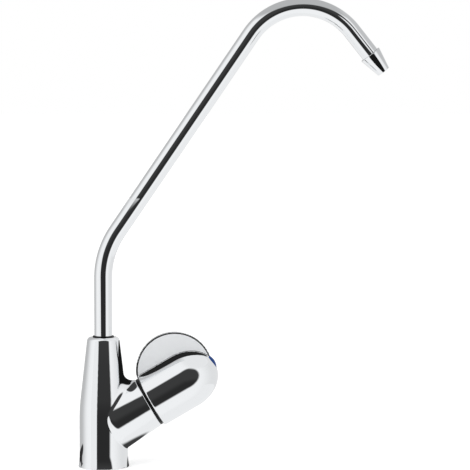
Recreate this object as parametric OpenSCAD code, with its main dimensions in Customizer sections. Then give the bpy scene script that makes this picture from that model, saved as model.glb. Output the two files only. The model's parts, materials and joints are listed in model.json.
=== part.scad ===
// Drinking water filter tap: a swivelling swan-neck spout on a tapered column, and a
// quarter-turn ceramic valve in a side housing that leans towards the outlet.
// Origin at the centre of the base seat, +Z up, +X towards the outlet, millimetres.

/* [Column] */
// Radius of the straight lower part of the column
column_r = 13.5; // [13:0.1:15]
// How far the foot of the column flares out
base_flare = 0.7; // [0.3:0.1:1.5]
// Height over which the foot flares
flare_h = 7; // [4:0.5:9]
// Height of the column above the worktop
column_h = 72.7; // [69:0.1:85]
// Height at which the column starts to taper
shoulder_z = 32.4; // [28:0.1:40]
// Radius that rounds the start of the taper
shoulder_round = 110; // [60:5:140]
// Radius at the top of the taper
top_r = 8.9; // [8.6:0.1:10.5]
// Rounding of the column's top edge
top_round = 2.2; // [1:0.1:2.4]

/* [Valve housing] */
// Height at which the valve axis crosses the column axis
valve_z = 21.4; // [20:0.1:24]
// Angle of the valve axis from vertical
valve_tilt = 60; // [56:1:65]
// Distance along the valve axis from the column axis to the housing's end face
housing_len = 28.9; // [28:0.1:33]
// Radius of the housing at its round end face
housing_end_r = 14.75; // [14.2:0.05:16]
// Half height of the housing's oval root
root_high = 16.7; // [15.5:0.1:17.5]
// Rounding of the housing's sides where they run into the column
root_round = 7; // [5:0.5:8]
// Distance along the valve axis at which that rounding ends
root_s = 8; // [7.5:0.1:9]
// How far the root reaches past the column axis
root_back = 2; // [1:0.5:2.5]
// Rounding of the housing's end edge
rim_round = 0.6; // [0.2:0.1:1]

/* [Handle] */
// Radius of the knob
knob_r = 15.7; // [15:0.1:18]
// Length of the knob from its open end to its rounded tip
knob_len = 41.6; // [38:0.1:48]
// Length of the rounded tip
dome_len = 19.5; // [14:0.5:22]
// Radius of the round fin
fin_r = 21.5; // [19:0.1:24]
// Thickness of the fin
fin_t = 3.5; // [2.5:0.1:5]
// Height of the fin's centre above the valve axis
fin_rise = 8.2; // [6:0.1:11]
// Distance of the fin's centre from the knob's open end
fin_out = 20.1; // [18:0.1:24]
// Rounding of the fin's edges
fin_round = 0.4; // [0.2:0.1:1.2]
// Wall of the knob round its open end
knob_wall = 2.2; // [1.5:0.1:3]
// Thickness of the black ring between housing and knob
glide_t = 1.2; // [0.8:0.1:2]
// Width of the black ring
glide_w = 1.9; // [1.4:0.1:2]
// How far the black ring lies inside the housing's edge
glide_inset = 0.35; // [0.1:0.05:0.6]
// Radius of the index cap
cap_r = 4.35; // [3.9:0.05:5]
// How far the index cap lies above the valve axis, towards the fin
cap_rise = 1.3; // [0:0.1:1.5]
// Height of the index cap's crown above its edge
cap_crown = 1.35; // [0.8:0.05:2]
// Thickness of the index cap's head
cap_t = 2.6; // [1.8:0.1:4]
// Length of the index cap's stem
cap_stem = 6; // [4:0.5:8]
// Core radius of the handle screw
handle_screw_r = 1.65; // [1.4:0.05:2]
// Radius of the handle screw's head
screw_head_r = 2.8; // [2.6:0.1:2.9]
// Height of the handle screw's head
screw_head_h = 2.6; // [2:0.1:3.4]
// Thickness of the web under the screw's head
web_t = 9; // [6:0.5:10]
// Corner radius of the hexagonal spline insert
insert_r = 6.6; // [6:0.1:8]
// Length of the spline insert
insert_len = 11; // [8:0.5:12]

/* [Valve] */
// Distance along the valve axis from the column axis to the valve seat
seat_s = 8; // [7.5:0.1:8.6]
// Radius of the bore through the valve seat
seat_bore_r = 4; // [3:0.1:4.4]
// Radius of the chamber round the headwork
chamber_r = 9.6; // [9.2:0.1:10]
// Room for the water round the headwork
flow_gap = 0.6; // [0.4:0.1:0.8]
// Wall of the headwork
headwork_wall = 1; // [0.8:0.1:1.4]
// Thickness of the seat seal
seal_t = 1.8; // [1.2:0.1:2.2]
// Thickness of each ceramic disc
disc_t = 3; // [2.4:0.1:3.4]
// Inner radius of the ports in the discs
port_in_r = 2.4; // [2:0.1:3]
// Outer radius of the ports in the discs
port_out_r = 5.9; // [5:0.1:6.2]
// Angle that each port spans
port_angle = 70; // [50:1:80]
// Width of the spindle's driving bar
bar_w = 3.6; // [3:0.1:4.2]
// Depth to which the driving bar enters the moving disc
bar_depth = 1.2; // [0.8:0.1:1.6]
// Height of the driving bar above the moving disc
bar_rise = 2; // [1.5:0.1:2.4]
// Thickness of the slip washer
slip_t = 0.6; // [0.4:0.1:0.9]
// Radius of the slip washer
slip_r = 6.2; // [5.6:0.1:6.4]
// Radius of the spindle's stem
stem_r = 4; // [3.6:0.1:4.4]
// Thread radius of the headwork in the housing
gland_r = 10.45; // [10.2:0.05:11]
// Length of the headwork's thread
gland_len = 6; // [5:0.1:7]
// Width across the flats of the headwork's hexagon
hex_af = 21; // [20.5:0.1:22]
// Thickness of the headwork's hexagon
hex_t = 2; // [1.5:0.1:2.2]
// Radius of the headwork's neck
neck_r = 6.5; // [5.8:0.1:7.5]
// How far the neck reaches into the knob
neck_reach = 3; // [2:0.1:4]
// Thickness of the spindle's spring clip
clip_t = 0.8; // [0.6:0.1:1.2]
// Outer radius of the spring clip
clip_r = 5.6; // [5.2:0.1:6]
// Number of teeth on the spindle's spline
spline_teeth = 20; // [16:1:24]
// Depth of the spline's teeth
spline_depth = 0.5; // [0.3:0.05:0.6]
// Cord radius of the small seal rings
cord_r = 0.55; // [0.4:0.05:0.6]

/* [Spout] */
// Outer radius of the spout tube
tube_r = 5; // [4.5:0.1:5.4]
// Wall of the spout tube
tube_wall = 1; // [0.8:0.1:1.2]
// Height of the straight rise above the column
rise_h = 32.9; // [25:0.1:50]
// Centreline radius of the lower bend
lower_bend_r = 46; // [30:0.5:60]
// Lean of the long arm from vertical
lean = 34.3; // [25:0.1:40]
// Length of the straight arm
arm_len = 132; // [100:0.5:160]
// Centreline radius of the arch
arch_r = 35; // [25:0.5:45]
// Angle of the outlet from vertical
outlet_lean = 38.5; // [20:0.5:50]
// Length of the straight end before the nozzle
end_len = 16.4; // [12:0.1:25]
// Depth of the spout bore in the column
bore_depth = 27.7; // [26.5:0.1:28.5]
// Length of tube inside the column
tube_sunk = 7.5; // [6.8:0.1:8]
// How far the foot's radius exceeds the tube's
foot_step = 0.5; // [0.4:0.05:0.8]
// Length of the foot's stub inside the tube
stub_len = 8; // [5:0.5:10]
// Radius of the water way in the foot
foot_bore_r = 2.6; // [2:0.1:2.7]
// Wall of the black bush
bush_wall = 0.85; // [0.7:0.05:1.1]
// Depth of the black bush in the column
bush_depth = 6; // [4:0.1:6.5]
// How far the bush's lip stands above the column
bush_lip = 0.7; // [0.4:0.1:1.2]
// Distance of the grub screw below the column's top
grub_drop = 11; // [10.5:0.1:12]
// Radius of the grub screw
grub_r = 2; // [1.5:0.1:2.2]
// Radius of the water way between valve chamber and spout bore
outlet_r = 2.2; // [1.6:0.1:2.3]

/* [Nozzle] */
// How far the nozzle's shoulder stands out round the tube
nozzle_step = 1.2; // [0.6:0.1:1.8]
// Radius of the nozzle's tip
tip_r = 3.75; // [3.4:0.05:4.5]
// Length of the nozzle
nozzle_len = 12.4; // [10:0.1:16]
// Length of the nozzle's stub inside the tube
nozzle_stub = 8; // [6:0.5:10]
// Radius of the water way in the nozzle
nozzle_bore_r = 2.2; // [1.8:0.1:2.4]
// Wall of the nozzle round the flow straightener
tip_wall = 0.85; // [0.7:0.05:1]
// Length of the flow straightener
straightener_len = 5; // [3:0.5:6]
// Thickness of the flow straightener's vanes
vane_t = 0.6; // [0.5:0.1:0.8]

/* [Mounting] */
// Thickness of the worktop that the tap is set for
deck_t = 20; // [10:1:40]
// Thread radius of the shank
shank_r = 6; // [5.5:0.1:6.4]
// Radius of the water way in the shank
shank_bore_r = 3; // [2:0.1:3.4]
// Depth of the shank's socket in the column
socket_depth = 11.5; // [9:0.1:13]
// Thickness of the inlet seal above the shank
inlet_seal_t = 1.2; // [0.8:0.1:2]
// Thickness of the base gasket
gasket_t = 1.6; // [1:0.1:2.5]
// Width of the base gasket
gasket_w = 2.8; // [2:0.1:3.2]
// Width of the metal rim round the gasket
seat_land = 2.7; // [2:0.1:3]
// Radius of the rubber deck washer
deck_washer_r = 16; // [12:0.5:20]
// Thickness of the rubber deck washer
deck_washer_t = 3; // [1.5:0.1:5]
// Radius of the steel backing washer
backing_r = 15; // [11:0.5:18]
// Thickness of the steel backing washer
backing_t = 1.5; // [1:0.1:3]
// Width across the flats of the mounting nut
nut_af = 19; // [17:0.5:22]
// Thickness of the mounting nut
nut_t = 7; // [5:0.5:10]
// Thread left free below the nut
spare_thread = 8; // [4:0.5:20]
// Radius of the inlet end
inlet_end_r = 4.85; // [4.4:0.05:5.2]
// Length of the inlet end
inlet_end_len = 11; // [8:0.5:16]

/* [Fits] */
// Gap round pieces that sit still in each other
seat_gap = 0.05; // [0.02:0.01:0.1]
// Gap of the turning fits
run_gap = 0.06; // [0.03:0.01:0.1]
// Gap between pieces that turn past each other
slip_gap = 0.25; // [0.15:0.05:0.3]

/* [Hidden] */
$fn = 96;

CHROME = "#d3d7db";
BRASS = "#c6a257";
STEEL = "#aeb2b5";
RUBBER = "#1d1d1f";
BLACK_ACETAL = "#131314";
WHITE_ACETAL = "#eceae4";
CERAMIC = "#f2eee6";
BLUE = "#14388f";

// Steps in a drawn arc
arc_steps = 8;
// Length by which a cut runs past the face it leaves
cut = 1;
// Bevel on the ends of threaded pieces
thread_bevel = 0.6;

// Points of an arc round a centre, from one angle to another
function arc(centre, r, from, to, steps = arc_steps) =
    [for (i = [0:steps]) let (a = from + (to - from) * i / steps) centre + r * [cos(a), sin(a)]];

// Column outline as radius and height
base_r = column_r + base_flare;
flare_round = (flare_h * flare_h + base_flare * base_flare) / (2 * base_flare);
flare_turn = asin(flare_h / flare_round);
taper = atan((column_r - top_r) / (column_h - shoulder_z));
shoulder_run = shoulder_round * tan(taper / 2);
top_arc_r = top_r + top_round * tan(taper) - top_round / cos(taper);
column_outline = concat(
    [[0, 0]],
    arc([column_r + flare_round, flare_h], flare_round, 180 + flare_turn, 180),
    arc([column_r - shoulder_round, shoulder_z - shoulder_run], shoulder_round, 0, taper),
    arc([top_arc_r, column_h - top_round], top_round, taper, 90),
    [[0, column_h]]);

// Radius of the tapered column at a height
function taper_r(z) = top_r + (column_h - z) * tan(taper);

// Rounded sides of the housing as half width and distance along the valve axis
root_turn = 66;
root_steps = 3;
root_sides = arc([housing_end_r - root_round, root_s], root_round, 0, -root_turn, root_steps);
root_t = 0.1;

// Round end of the housing as radius and distance along the valve axis
rim_steps = 4;
rim_outline = concat(
    [[0, housing_len - rim_round]],
    arc([housing_end_r - rim_round, housing_len - rim_round], rim_round, 0, 90, rim_steps),
    [[0, housing_len]]);

// Stations along the valve axis, from the seat outwards
headwork_r = chamber_r - flow_gap;
cavity_r = headwork_r - headwork_wall;
headwork_lift = 0.72;
headwork_s = seat_s + headwork_lift;
fixed_s = seat_s + seal_t;
moving_s = fixed_s + disc_t + run_gap;
moving_top = moving_s + disc_t;
bar_top = moving_top + bar_rise;
slip_s = bar_top + run_gap;
bulkhead_s = slip_s + slip_t + run_gap;
recess_s = housing_len - hex_t - slip_gap;
gland_s = recess_s - gland_len;
hex_r = hex_af / 2 / cos(30);
recess_r = hex_r + slip_gap;
knob_s = housing_len + glide_t + slip_gap;
neck_end = knob_s + neck_reach;
clip_s = neck_end + run_gap;
clip_room = 1.2;
skirt_end = clip_s + clip_t + clip_room;
insert_end = skirt_end + insert_len;
spindle_end_play = 0.5;
spindle_end = insert_end - spindle_end_play;
screw_head_s = insert_end + web_t;
pole_s = knob_s + knob_len;
dome_s = pole_s - dome_len;
cap_seat_s = pole_s - cap_t;
cap_edge_s = dome_s + dome_len * sqrt(1 - pow(cap_r / knob_r, 2));
crown_round = (cap_r * cap_r + cap_crown * cap_crown) / (2 * cap_crown);
tapped_floor = 2;
tapped_depth = insert_len - tapped_floor;
stem_bore_r = stem_r + run_gap;
spline_lead = 0.4;
spline_s = clip_s + clip_t + spline_lead;
spline_step = 0.1;
stem_ring_lead = 2.4;
stem_ring_pitch = 3;
stem_ring_s = [for (i = [0, 1]) bulkhead_s + stem_ring_lead + i * stem_ring_pitch];

// Spindle drive: the bar turns a quarter turn between two stops in the headwork
stop_w = 1.4;
stop_r = cavity_r - stop_w;
bar_play = 0.4;
bar_half = cavity_r - bar_play;
stop_play = 2.5;
stop_from = 90 + asin(bar_w / 2 / stop_r) + stop_play;
stop_angle = 270 - 2 * stop_from;
window_angle = 60;
ear_w = 3;
collar_t = 0.9;
collar_step = 0.55;
clip_groove = 0.8;
clip_groove_r = stem_r - clip_groove;
clip_mouth = 4.5;

// Spout bore and foot, measured up the column axis
foot_r = tube_r + foot_step;
spout_bore_r = foot_r + run_gap;
tube_in_r = tube_r - tube_wall;
bush_in_r = tube_r + run_gap;
bush_r = bush_in_r + bush_wall;
bore_floor_z = column_h - bore_depth;
tube_foot_z = column_h - tube_sunk;
foot_z = bore_floor_z + slip_gap;
grub_z = column_h - grub_drop;
grub_sink = 0.4;
grub_socket_r = 1;
grub_socket = 1.5;
dog_r = 1;
dog_play = 0.3;
dog_reach = 0.8;
dog_tip_r = foot_r - dog_reach;
foot_ring_lead = 3.4;
foot_ring_pitch = 4.8;
foot_ring_z = [for (i = [0, 1]) foot_z + foot_ring_lead + i * foot_ring_pitch];
ring_play = 0.2;
funnel_h = 3;
funnel_lip = 0.8;

// Water way from the valve chamber up to the spout bore
outlet_land = 0.15;
outlet_x = spout_bore_r - outlet_r - outlet_land;
outlet_z = valve_z + (chamber_r + outlet_x * cos(valve_tilt)) / sin(valve_tilt) - outlet_r;

// Centreline of the spout: the end of each run, in the XZ plane
rise_end = [0, column_h + rise_h];
lower_centre = rise_end + [lower_bend_r, 0];
arm_start = lower_centre + lower_bend_r * [-cos(lean), sin(lean)];
arm_end = arm_start + arm_len * [sin(lean), cos(lean)];
arch_centre = arm_end + arch_r * [cos(lean), -sin(lean)];
arch_turn = 180 - lean - outlet_lean;
end_tilt = 180 - outlet_lean;
end_start = arch_centre + arch_r * [cos(outlet_lean), sin(outlet_lean)];
tube_end = end_start + end_len * [sin(end_tilt), cos(end_tilt)];
joint_w = 0.4;
joint_rise = 0.03;

// Nozzle
nozzle_r = tube_r + nozzle_step;
nozzle_stub_r = tube_in_r - seat_gap;
nozzle_ring_s = -nozzle_stub / 2;
straightener_r = tip_r - tip_wall - seat_gap;

// Mounting, measured down from the worktop
gasket_r = base_r - seat_land;
shank_top = socket_depth - inlet_seal_t - seat_gap;
deck_washer_z = -deck_t - deck_washer_t;
backing_z = deck_washer_z - seat_gap - backing_t;
nut_z = backing_z - seat_gap - nut_t;
inlet_end_z = nut_z - spare_thread;
relief_h = 2;
shank_end_z = inlet_end_z - relief_h - inlet_end_len;
relief_step = 0.5;
relief_r = inlet_end_r - relief_step;

// Places children on the valve axis: local Z outwards, local -X towards the fin
module on_valve_axis(s = 0) {
    translate([0, 0, valve_z]) rotate([0, valve_tilt, 0]) translate([0, 0, s]) children();
}

// Places children at a point of the spout's centreline, local Z along the flow
module on_spout(point, tilt) {
    translate([point.x, 0, point.y]) rotate([0, tilt, 0]) children();
}

module flat_ring(outer, inner, h) {
    difference() {
        cylinder(r = outer, h = h);
        translate([0, 0, -cut]) cylinder(r = inner, h = h + 2 * cut);
    }
}

// Seal ring that sits in a groove under a given outer radius
module seal_ring(outer, cord = cord_r) {
    rotate_extrude() translate([outer - cord, 0]) circle(r = cord);
}

// Cut for a seal ring's groove, centred on its own height
module ring_groove(outer, cord = cord_r) {
    half = cord + ring_play;
    translate([0, 0, -half]) flat_ring(outer + cut, outer - 2 * cord - seat_gap, 2 * half);
}

// Part of a ring that spans an angle, centred on a direction
module ring_sector(inner, outer, h, middle, angle) {
    rotate(middle - angle / 2)
        rotate_extrude(angle = angle) translate([inner, 0]) square([outer - inner, h]);
}

// Threaded rod with bevelled ends
module bevelled_rod(r, h) {
    rotate_extrude() polygon([[0, 0], [r - thread_bevel, 0], [r, thread_bevel],
        [r, h - thread_bevel], [r - thread_bevel, h], [0, h]]);
}

module hex_prism(across_flats, h) {
    cylinder(r = across_flats / 2 / cos(30), h = h, $fn = 6);
}

// Outline of the spline; a tooth's corners are given as shares of its pitch
module spline_outline(grow = 0) {
    tooth = 360 / spline_teeth;
    tip = stem_r - spline_step + grow;
    root = tip - spline_depth;
    root_share = 0.32;
    tip_share = 0.18;
    corners = [[-root_share, root], [-tip_share, tip], [tip_share, tip], [root_share, root]];
    polygon([for (i = [0:spline_teeth - 1]) for (corner = corners)
        corner[1] * [cos((i + corner[0]) * tooth), sin((i + corner[0]) * tooth)]]);
}

// Bent run of the spout, in the XZ plane round a centre
module spout_bend(r, centre, bend_r, from, angle) {
    translate([centre.x, 0, centre.y]) rotate([90, 0, 0]) rotate(from)
        rotate_extrude(angle = angle) translate([bend_r, 0]) circle(r = r);
}

// Faint ring that joins a straight run to a bend
module run_joint(r, point, tilt) {
    on_spout(point, tilt) translate([0, 0, -joint_w / 2]) cylinder(r = r + joint_rise, h = joint_w);
}

// Solid rod along the spout, from inside the column to the nozzle
module spout_rod(r, past_ends = 0) {
    translate([0, 0, tube_foot_z - past_ends]) cylinder(r = r, h = tube_sunk + rise_h + past_ends);
    run_joint(r, rise_end, 0);
    spout_bend(r, lower_centre, lower_bend_r, 180 - lean, lean);
    run_joint(r, arm_start, lean);
    on_spout(arm_start, lean) cylinder(r = r, h = arm_len);
    run_joint(r, arm_end, lean);
    spout_bend(r, arch_centre, arch_r, outlet_lean, arch_turn);
    run_joint(r, end_start, end_tilt);
    on_spout(end_start, end_tilt) cylinder(r = r, h = end_len + past_ends);
}

// Bores of the valve housing: seat, chamber, headwork thread and hexagon recess
module valve_bores() {
    on_valve_axis() cylinder(r = seat_bore_r, h = seat_s + cut);
    on_valve_axis(seat_s) cylinder(r = chamber_r, h = housing_len);
    on_valve_axis(gland_s) cylinder(r = gland_r, h = housing_len);
    on_valve_axis(recess_s) cylinder(r = recess_r, h = housing_len);
}

// Bores of the column: shank socket, inlet, outlet, spout bore, bush seat and grub screw
module column_bores() {
    translate([0, 0, -cut]) cylinder(r = shank_r, h = socket_depth + cut);
    cylinder(r = shank_bore_r, h = valve_z);
    translate([outlet_x, 0, outlet_z]) cylinder(r = outlet_r, h = bore_floor_z - outlet_z + cut);
    translate([0, 0, bore_floor_z]) cylinder(r = spout_bore_r, h = bore_depth + cut);
    translate([0, 0, column_h - bush_depth]) cylinder(r = bush_r + seat_gap, h = bush_depth + cut);
    translate([0, 0, grub_z]) rotate([-90, 0, 0]) cylinder(r = grub_r + seat_gap, h = column_r);
    translate([0, 0, -cut]) flat_ring(gasket_r, gasket_r - gasket_w, gasket_t + cut);
}

// Oval slice of the valve housing
module housing_slice(high, wide, s) {
    translate([0, 0, s]) scale([high, wide, 1]) cylinder(r = 1, h = root_t);
}

// Shell of the valve housing: an oval root inside the column, rounded sides and a round end
module housing_shell() {
    on_valve_axis() hull() {
        housing_slice(root_high, root_sides[root_steps][0], -root_back);
        for (side = root_sides) housing_slice(housing_end_r, side[0], side[1]);
        rotate_extrude() polygon(rim_outline);
    }
}

module tap_body() {
    color(CHROME) difference() {
        union() {
            rotate_extrude() polygon(column_outline);
            housing_shell($fn = 40);
        }
        column_bores();
        valve_bores();
    }
}

module base_gasket() {
    color(RUBBER) flat_ring(gasket_r - seat_gap, gasket_r - gasket_w + seat_gap, gasket_t - seat_gap);
}

module inlet_seal() {
    color(RUBBER) translate([0, 0, shank_top + seat_gap / 2])
        flat_ring(shank_r - 2 * seat_gap, shank_bore_r + 2 * seat_gap, inlet_seal_t);
}

module mounting_shank() {
    color(BRASS) difference() {
        union() {
            translate([0, 0, inlet_end_z]) bevelled_rod(shank_r - seat_gap, shank_top - inlet_end_z);
            translate([0, 0, inlet_end_z - relief_h - cut])
                cylinder(r = relief_r, h = relief_h + 2 * cut);
            translate([0, 0, shank_end_z]) bevelled_rod(inlet_end_r, inlet_end_len);
        }
        translate([0, 0, shank_end_z - cut])
            cylinder(r = shank_bore_r, h = shank_top - shank_end_z + 2 * cut);
    }
}

module deck_washer() {
    color(RUBBER) translate([0, 0, deck_washer_z])
        flat_ring(deck_washer_r, shank_r + slip_gap, deck_washer_t);
}

module backing_washer() {
    color(STEEL) translate([0, 0, backing_z]) flat_ring(backing_r, shank_r + slip_gap, backing_t);
}

module mounting_nut() {
    color(BRASS) translate([0, 0, nut_z]) difference() {
        hex_prism(nut_af, nut_t);
        translate([0, 0, -cut]) cylinder(r = shank_r, h = nut_t + 2 * cut);
    }
}

module seat_seal() {
    color(RUBBER) on_valve_axis(seat_s + seat_gap / 2)
        flat_ring(cavity_r - 2 * seat_gap, seat_bore_r, seal_t - seat_gap);
}

// Pair of ports through a ceramic disc, centred on a direction and its opposite
module disc_ports(middle) {
    for (side = [0, 180])
        translate([0, 0, -cut])
            ring_sector(port_in_r, port_out_r, disc_t + 2 * cut, middle + side, port_angle);
}

// Ears that key the fixed disc in the headwork, or the slots for them
module disc_ears(w, reach, h) {
    translate([-w / 2, -reach, 0]) cube([w, 2 * reach, h]);
}

module fixed_disc() {
    color(CERAMIC) on_valve_axis(fixed_s) difference() {
        union() {
            cylinder(r = cavity_r - seat_gap, h = disc_t);
            intersection() {
                disc_ears(ear_w, headwork_r, disc_t);
                cylinder(r = headwork_r - seat_gap, h = disc_t);
            }
        }
        disc_ports(0);
    }
}

module moving_disc() {
    slot_w = bar_w + 2 * seat_gap;
    color(CERAMIC) on_valve_axis(moving_s) difference() {
        cylinder(r = cavity_r - slip_gap, h = disc_t);
        disc_ports(90);
        translate([-headwork_r, -slot_w / 2, disc_t - bar_depth])
            cube([2 * headwork_r, slot_w, bar_depth + cut]);
    }
}

module cartridge_body() {
    cavity_h = bulkhead_s - headwork_s;
    color(BRASS) difference() {
        union() {
            difference() {
                union() {
                    on_valve_axis(headwork_s) cylinder(r = headwork_r, h = gland_s - headwork_s + cut);
                    on_valve_axis(gland_s + slip_gap)
                        cylinder(r = gland_r - seat_gap, h = gland_len - slip_gap + cut);
                    on_valve_axis(recess_s + seat_gap) hex_prism(hex_af, hex_t);
                    on_valve_axis(recess_s) cylinder(r = neck_r, h = neck_end - recess_s);
                }
                on_valve_axis(headwork_s - cut) cylinder(r = cavity_r, h = cavity_h + cut);
                on_valve_axis(moving_top) for (middle = [45, 225])
                    ring_sector(cavity_r - cut, headwork_r + cut, bulkhead_s - moving_top,
                        middle, window_angle);
                on_valve_axis(headwork_s - cut)
                    disc_ears(ear_w + 2 * seat_gap, headwork_r + cut,
                        fixed_s + disc_t - headwork_s + cut + seat_gap);
            }
            on_valve_axis(moving_top + run_gap) for (middle = [135, 315])
                ring_sector(stop_r, cavity_r + headwork_wall / 2, bulkhead_s - moving_top,
                    middle, stop_angle);
        }
        on_valve_axis(headwork_s) cylinder(r = stem_bore_r, h = neck_end);
        on_valve_axis(recess_s - 2 * cord_r) ring_groove(gland_r - seat_gap);
    }
}

module cartridge_o_ring() {
    color(RUBBER) on_valve_axis(recess_s - 2 * cord_r) seal_ring(gland_r - seat_gap);
}

module glide_ring() {
    outer = housing_end_r - glide_inset;
    color(BLACK_ACETAL) on_valve_axis(housing_len) flat_ring(outer, outer - glide_w, glide_t);
}

module spout_bush() {
    color(BLACK_ACETAL) translate([0, 0, column_h - bush_depth + seat_gap])
        flat_ring(bush_r, bush_in_r, bush_depth - seat_gap + bush_lip);
}

// Grub screw in the back of the column, whose dog runs in the foot's groove
module spout_grub_screw() {
    outer_end = taper_r(grub_z) - grub_sink;
    color(STEEL) translate([0, 0, grub_z]) rotate([-90, 0, 0]) difference() {
        union() {
            translate([0, 0, spout_bore_r + slip_gap])
                cylinder(r = grub_r, h = outer_end - spout_bore_r - slip_gap);
            translate([0, 0, dog_tip_r]) cylinder(r = dog_r, h = outer_end - dog_tip_r - cut);
        }
        translate([0, 0, outer_end - grub_socket])
            cylinder(r = grub_socket_r, h = grub_socket + cut, $fn = 6);
    }
}

module spindle() {
    bar_s = moving_top - bar_depth + seat_gap;
    color(BRASS) difference() {
        union() {
            on_valve_axis(bar_s) intersection() {
                translate([-bar_half, -bar_w / 2, 0]) cube([2 * bar_half, bar_w, bar_top - bar_s]);
                cylinder(r = bar_half, h = bar_top - bar_s);
            }
            on_valve_axis(bar_top - collar_t) cylinder(r = slip_r - collar_step, h = collar_t);
            on_valve_axis(moving_top + run_gap) cylinder(r = stem_r, h = spline_s - moving_top);
            on_valve_axis(spline_s) linear_extrude(spindle_end - spline_s) spline_outline();
        }
        for (s = stem_ring_s) on_valve_axis(s) ring_groove(stem_r);
        on_valve_axis(clip_s - seat_gap)
            flat_ring(stem_r + cut, clip_groove_r, clip_t + 2 * seat_gap);
        on_valve_axis(spindle_end - tapped_depth)
            cylinder(r = handle_screw_r + seat_gap, h = tapped_depth + cut);
    }
}

module spindle_o_rings() {
    color(RUBBER) for (s = stem_ring_s) on_valve_axis(s) seal_ring(stem_r);
}

module slip_washer() {
    color(WHITE_ACETAL) on_valve_axis(slip_s) flat_ring(slip_r, stem_r + seat_gap, slip_t);
}

module spindle_clip() {
    color(STEEL) on_valve_axis(clip_s) difference() {
        flat_ring(clip_r, clip_groove_r + seat_gap, clip_t);
        translate([0, -clip_mouth / 2, -cut]) cube([2 * clip_r, clip_mouth, clip_t + 2 * cut]);
    }
}

module spline_insert() {
    color(WHITE_ACETAL) on_valve_axis(skirt_end) difference() {
        cylinder(r = insert_r, h = insert_len, $fn = 6);
        translate([0, 0, -cut]) linear_extrude(insert_len + 2 * cut) spline_outline(seat_gap);
    }
}

// Knob outline as radius and distance along the valve axis, with an elliptical tip
module knob_outline() {
    edge = rim_round;
    steps = 2 * arc_steps;
    polygon(concat([[0, knob_s]],
        arc([knob_r - edge, knob_s + edge], edge, -90, 0),
        [for (i = [0:steps]) let (a = 90 * i / steps) [knob_r * cos(a), dome_s + dome_len * sin(a)]]));
}

// Round fin with softened edges, in the upright plane of the valve axis
module fin() {
    half = fin_t / 2;
    corner = fin_r - fin_round;
    translate([-fin_rise, 0, knob_s + fin_out]) rotate([90, 0, 0]) rotate_extrude() {
        translate([0, -half]) square([corner, fin_t]);
        translate([0, fin_round - half]) square([fin_r, fin_t - 2 * fin_round]);
        for (side = [-1, 1])
            translate([corner, side * (half - fin_round)]) circle(r = fin_round);
    }
}

module handle_knob() {
    reach = fin_r + fin_rise + knob_r;
    color(CHROME) difference() {
        on_valve_axis() union() {
            rotate_extrude() knob_outline();
            intersection() {
                fin();
                translate([-reach, -reach, knob_s]) cube([2 * reach, 2 * reach, 3 * reach]);
            }
        }
        on_valve_axis(knob_s - cut) cylinder(r = knob_r - knob_wall, h = skirt_end - knob_s + cut);
        on_valve_axis(skirt_end - cut)
            cylinder(r = insert_r + seat_gap / cos(30), h = insert_len + cut + seat_gap, $fn = 6);
        on_valve_axis(insert_end) cylinder(r = handle_screw_r + slip_gap, h = web_t + cut);
        on_valve_axis(screw_head_s) cylinder(r = screw_head_r + seat_gap, h = knob_len);
        on_valve_axis(cap_seat_s) translate([-cap_rise, 0, 0])
            cylinder(r = cap_r + seat_gap, h = knob_len);
    }
}

module handle_screw() {
    tip_room = 1;
    tip_s = spindle_end - tapped_depth + tip_room;
    socket_r = 1.5;
    socket_floor = 1;
    color(STEEL) on_valve_axis() difference() {
        union() {
            translate([0, 0, tip_s]) cylinder(r = handle_screw_r, h = screw_head_s - tip_s + cut);
            translate([0, 0, screw_head_s]) cylinder(r = screw_head_r, h = screw_head_h);
        }
        translate([0, 0, screw_head_s + socket_floor])
            cylinder(r = socket_r, h = screw_head_h, $fn = 6);
    }
}

// Blue cap with a crown that rises from the knob's tip, and a hollow stem in the screw's bore
module index_cap() {
    stem_wall = 0.9;
    crown_s = cap_edge_s + cap_crown - crown_round;
    color(BLUE) on_valve_axis() difference() {
        union() {
            translate([-cap_rise, 0, 0]) intersection() {
                translate([0, 0, crown_s]) sphere(r = crown_round);
                translate([0, 0, cap_seat_s + seat_gap]) cylinder(r = cap_r, h = cap_t + crown_round);
            }
            translate([0, 0, cap_seat_s - cap_stem])
                cylinder(r = screw_head_r, h = cap_stem + cap_t / 2);
        }
        translate([0, 0, cap_seat_s - cap_stem - cut])
            cylinder(r = screw_head_r - stem_wall, h = cap_stem + cut);
    }
}

// Turned foot: seal grooves, retaining groove for the dog, and a stub brazed into the tube
module spout_foot() {
    groove_half = dog_r + dog_play;
    color(BRASS) difference() {
        union() {
            translate([0, 0, foot_z]) cylinder(r = foot_r, h = tube_foot_z - foot_z - seat_gap);
            translate([0, 0, tube_foot_z - cut])
                cylinder(r = tube_in_r - seat_gap, h = stub_len + cut);
        }
        for (z = foot_ring_z) translate([0, 0, z]) ring_groove(foot_r);
        translate([0, 0, grub_z - groove_half])
            flat_ring(foot_r + cut, dog_tip_r - dog_play, 2 * groove_half);
        translate([0, 0, foot_z - cut])
            cylinder(r = foot_bore_r, h = tube_foot_z + stub_len - foot_z + 2 * cut);
        translate([0, 0, foot_z]) cylinder(r1 = foot_r - funnel_lip, r2 = foot_bore_r, h = funnel_h);
    }
}

module spout_o_rings() {
    color(RUBBER) for (z = foot_ring_z) translate([0, 0, z]) seal_ring(foot_r);
}

module spout_tube() {
    color(CHROME) difference() {
        spout_rod(tube_r);
        spout_rod(tube_in_r, cut);
    }
}

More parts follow.
